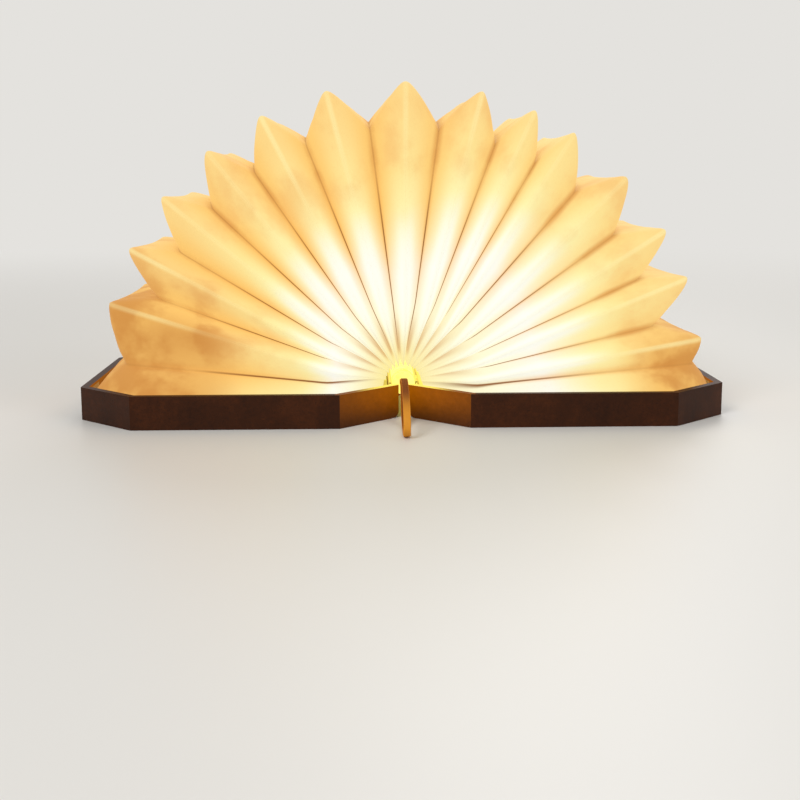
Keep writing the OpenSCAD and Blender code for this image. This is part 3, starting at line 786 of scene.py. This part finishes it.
def half_pleat(fold, valley, fold_turn, valley_turn, glued):
    """Points, creases and reach of one slope, from its fold line to its valley line."""
    turn_share = np.linspace(0, 1, SLOPE_STEPS) ** SLOPE_CROWDING
    points, creases, reach = [], [], []
    for (r0, y0), (r1, y1) in zip(fold, valley):
        depths = slope_depths(turn_share, r0)
        r = r0 + (r1 - r0) * depths
        y = y0 + (y1 - y0) * depths
        turn = fold_turn + (valley_turn - fold_turn) * turn_share
        row = np.stack([-r * np.cos(turn), y, AXIS_Z + r * np.sin(turn)], 1)
        if glued:
            start = np.array([-r0 * math.cos(fold_turn), y0, PAPER_Z])
            row += (start - row[0])[None, :] * ((1 - turn_share) ** 2)[:, None]
        run = np.concatenate([[0], np.cumsum(np.linalg.norm(np.diff(row, axis=0), axis=1))])
        out = np.array([row[0, 0] - row[-1, 0], y0 - y1, row[0, 2] - row[-1, 2]])
        out /= np.linalg.norm(out)
        swell = min(1.0, r0 / PUFF_FROM, max(0.0, (PUFF_TO - r0) / PUFF_FADE))
        puff = PETAL_PUFF * swell * np.sin(np.pi * turn_share) ** PUFF_POWER
        points.append(row + out[None, :] * puff[:, None])
        creases.append(np.stack([run, run[-1] - run, run * 0], 1) / MM)
        reach.append(np.stack([r / SHADE_R, turn / math.pi, run * 0], 1))
    return np.array(points), np.array(creases), np.array(reach)


def wrinkle(points, shares):
    """Faint hand-made waviness of the paper, nil at the folds and valleys."""
    for row, share in zip(points.reshape(-1, 3), shares.ravel()):
        wave = noise.noise(Vector(row) * WAVE_COARSE) + 0.5 * noise.noise(Vector(row) * WAVE_FINE)
        centre = Vector((0, row[1] * 0.6, AXIS_Z))
        row += np.array((Vector(row) - centre).normalized()) * (wave * share * WAVE_HEIGHT)


def make_pleat(k, lines, paper):
    """The pleat from fold k - 1 to fold k, with its valley between them."""
    folds, valleys = lines
    inner = valleys[k - 1]
    first, last = (math.radians(FOLD_ANGLES[i]) for i in (k - 1, k))
    middle = math.radians(valley_turns()[k - 1][0])
    left = half_pleat(folds[k - 1], inner, first, middle, k == 1)
    right = half_pleat(folds[k], inner, last, middle, k == PLEAT_COUNT)
    points, creases, reach = (np.concatenate([a, b[:, -2::-1]], 1) for a, b in zip(left, right))
    nearest = np.minimum(creases[..., 0], creases[..., 1])
    wrinkle(points, np.clip(nearest / WAVE_FADE_MM, 0, 1))
    rows, columns = points.shape[:2]
    name = f"paper_pleat_{k:02d}"
    piece = mesh_piece(name, points.reshape(-1, 3), grid_faces(rows, columns), paper)
    store(piece, "crease", creases.reshape(-1, 3))
    store(piece, "reach", reach.reshape(-1, 3))
    store(piece, "rest", points.reshape(-1, 3))
    solid = piece.modifiers.new("thickness", "SOLIDIFY")
    solid.thickness = PAPER_T
    solid.offset = 0
    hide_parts(f"shade_pleat_{k:02d}")
    if k == PLEAT_COUNT:
        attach(piece, "right_half")
        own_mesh(piece)
        return
    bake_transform(piece)


def make_shade():
    paper = paint_paper()
    lines = shade_lines()
    for k in range(1, PLEAT_COUNT + 1):
        make_pleat(k, lines, paper)


# ---------------------------------------------------------------- strap

STRAP_W = 2.6 * MM
STRAP_T = 0.9 * MM
# The strap's route in the plane of the spine, as (y, z) in millimetres.
STRAP_ROUTE = [
    (-34.1, 13.7), (-37, 13.7), (-39.2, 13.9), (-42, 14.9), (-46, 15.6), (-51, 15.6), (-55, 15.3),
    (-60, 14.6), (-65, 13.6), (-70, 12.3), (-74.5, 10.8), (-78.4, 8.5), (-80.8, 5.6),
    (-80.9, 3), (-78.7, 1.1), (-75, 0.55), (-70, 0.5), (-65, 0.5), (-60, 0.8),
    (-55, 2), (-50, 4.4), (-46, 7.4), (-42.6, 10.8), (-40, 12.1), (-37, 12.6), (-34.1, 12.6),
]
ROUTE_STEPS = 4
SECTION_POINTS = 20
# Powers below 1 make the section's oval squarer, across and through the strap.
SQUARE_ACROSS = 0.35
SQUARE_THROUGH = 0.6


def spline(points, steps):
    """Catmull-Rom points between the points of a route."""
    points = [np.array(p, float) for p in points]
    last = len(points) - 1
    made = []
    for i in range(last):
        a, b = points[max(i - 1, 0)], points[i]
        c, d = points[i + 1], points[min(i + 2, last)]
        for j in range(steps):
            t = j / steps
            made.append(
                0.5 * (2 * b + (c - a) * t + (2 * a - 5 * b + 4 * c - d) * t**2
                       + (3 * b - a - 3 * c + d) * t**3)
            )
    return np.array(made + [points[last]])


def strap_section():
    """Rounded flat section as (across, up, edge share)."""
    w, t = STRAP_W / 2, STRAP_T / 2
    ring = []
    for j in range(SECTION_POINTS):
        a = 2 * math.pi * (j + 0.5) / SECTION_POINTS
        c, s = math.cos(a), math.sin(a)
        x = w * math.copysign(abs(c) ** SQUARE_ACROSS, c)
        z = t * math.copysign(abs(s) ** SQUARE_THROUGH, s)
        ring.append((x, z, abs(x) / w))
    return ring


def make_strap():
    """The leather loop, swept along its route with both ends level in the anchor."""
    route = spline(STRAP_ROUTE, ROUTE_STEPS) * MM
    ring = strap_section()
    points, edges = [], []
    last = len(route) - 1
    for i, (y, z) in enumerate(route):
        d = route[min(i + 1, last)] - route[max(i - 1, 0)]
        if i in (0, last):
            d = np.array([-1.0 if i == 0 else 1.0, 0.0])
        d = d / np.linalg.norm(d)
        for x, up, edge in ring:
            points.append((x, y - d[1] * up, z + d[0] * up))
            edges.append((edge, i / last, 0))
    n = len(ring)
    faces = [
        (r * n + j, r * n + (j + 1) % n, (r + 1) * n + (j + 1) % n, (r + 1) * n + j)
        for r in range(last)
        for j in range(n)
    ]
    faces += [tuple(range(n - 1, -1, -1)), tuple(last * n + j for j in range(n))]
    strap = mesh_piece("leather_strap", points, faces, paint_leather())
    store(strap, "strap", edges)
    store(strap, "rest", points)
    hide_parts("carry_strap")
    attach(strap, "left_half")


# ---------------------------------------------------------------- stage

BACKDROP = linear(228, 226, 222)
FLOOR_REACH = 6
# The floor melts into the backdrop between these distances from the lamp.
FLOOR_MELT = (0.28, 1.1)
# How bright the backdrop is as a light, against how it looks.
SKY_SHARE = 0.5
LAMP_AIM = (0, 0, 0.05)


def make_floor():
    e = FLOOR_REACH
    corners = [(-e, -e, 0), (e, -e, 0), (e, e, 0), (-e, e, 0)]
    floor = mesh_piece("floor", corners, [(0, 1, 2, 3)], paint_floor(), smooth=False)


def paint_floor():
    """Pale floor that melts into the backdrop's colour away from the lamp."""
    p = Paint("floor", Roughness=0.45, Base_Color=linear(224, 222, 218))
    place = p.node("TexCoord", out="Object")
    away = p.node("VectorMath", {0: place}, out="Value", operation="LENGTH")
    glow = p.node("Emission", {"Color": BACKDROP})
    mixed = p.node(
        "MixShader", {0: p.step(away, *FLOOR_MELT), 1: p.shader.outputs[0], 2: glow}
    )
    p.plug(p.out.inputs[0], mixed)
    return p.material


def make_lamp(name, place, size, power):
    """A round studio lamp aimed at the object."""
    data = bpy.data.lights.new(name, "AREA")
    data.shape = "DISK"
    data.size = size
    data.energy = power
    lamp = bpy.data.objects.new(name, data)
    bpy.context.scene.collection.objects.link(lamp)
    lamp.location = place
    lamp.rotation_mode = "QUATERNION"
    lamp.rotation_quaternion = (Vector(LAMP_AIM) - Vector(place)).to_track_quat("-Z", "Y")


def make_sky():
    """The backdrop: at full strength where it is seen, mirrored or seen through, and dimmer as a
    light."""
    world = bpy.data.worlds.new("world")
    world.use_nodes = True
    bpy.context.scene.world = world
    tree = world.node_tree
    sky = tree.nodes["Background"]
    sky.inputs["Color"].default_value = BACKDROP
    ray = tree.nodes.new("ShaderNodeLightPath")
    seen = ray.outputs["Is Camera Ray"]
    for kind in ("Is Glossy Ray", "Is Transmission Ray"):
        either = tree.nodes.new("ShaderNodeMath")
        either.operation = "MAXIMUM"
        tree.links.new(seen, either.inputs[0])
        tree.links.new(ray.outputs[kind], either.inputs[1])
        seen = either.outputs[0]
    level = tree.nodes.new("ShaderNodeMapRange")
    tree.links.new(seen, level.inputs["Value"])
    level.inputs["To Min"].default_value = SKY_SHARE
    tree.links.new(level.outputs[0], sky.inputs["Strength"])


def make_light():
    make_sky()
    make_lamp("key", (-0.7, -1.0, 1.1), 0.7, 12)
    make_lamp("fill", (1.1, -0.8, 0.7), 0.9, 5)
    make_lamp("back", (0.3, 1.2, 1.0), 0.8, 6)


make_camera()
make_strap()
dress_frame()
soften_covers()
make_shade()
make_floor()
make_light()
bpy.context.scene.view_settings.view_transform = "Standard"
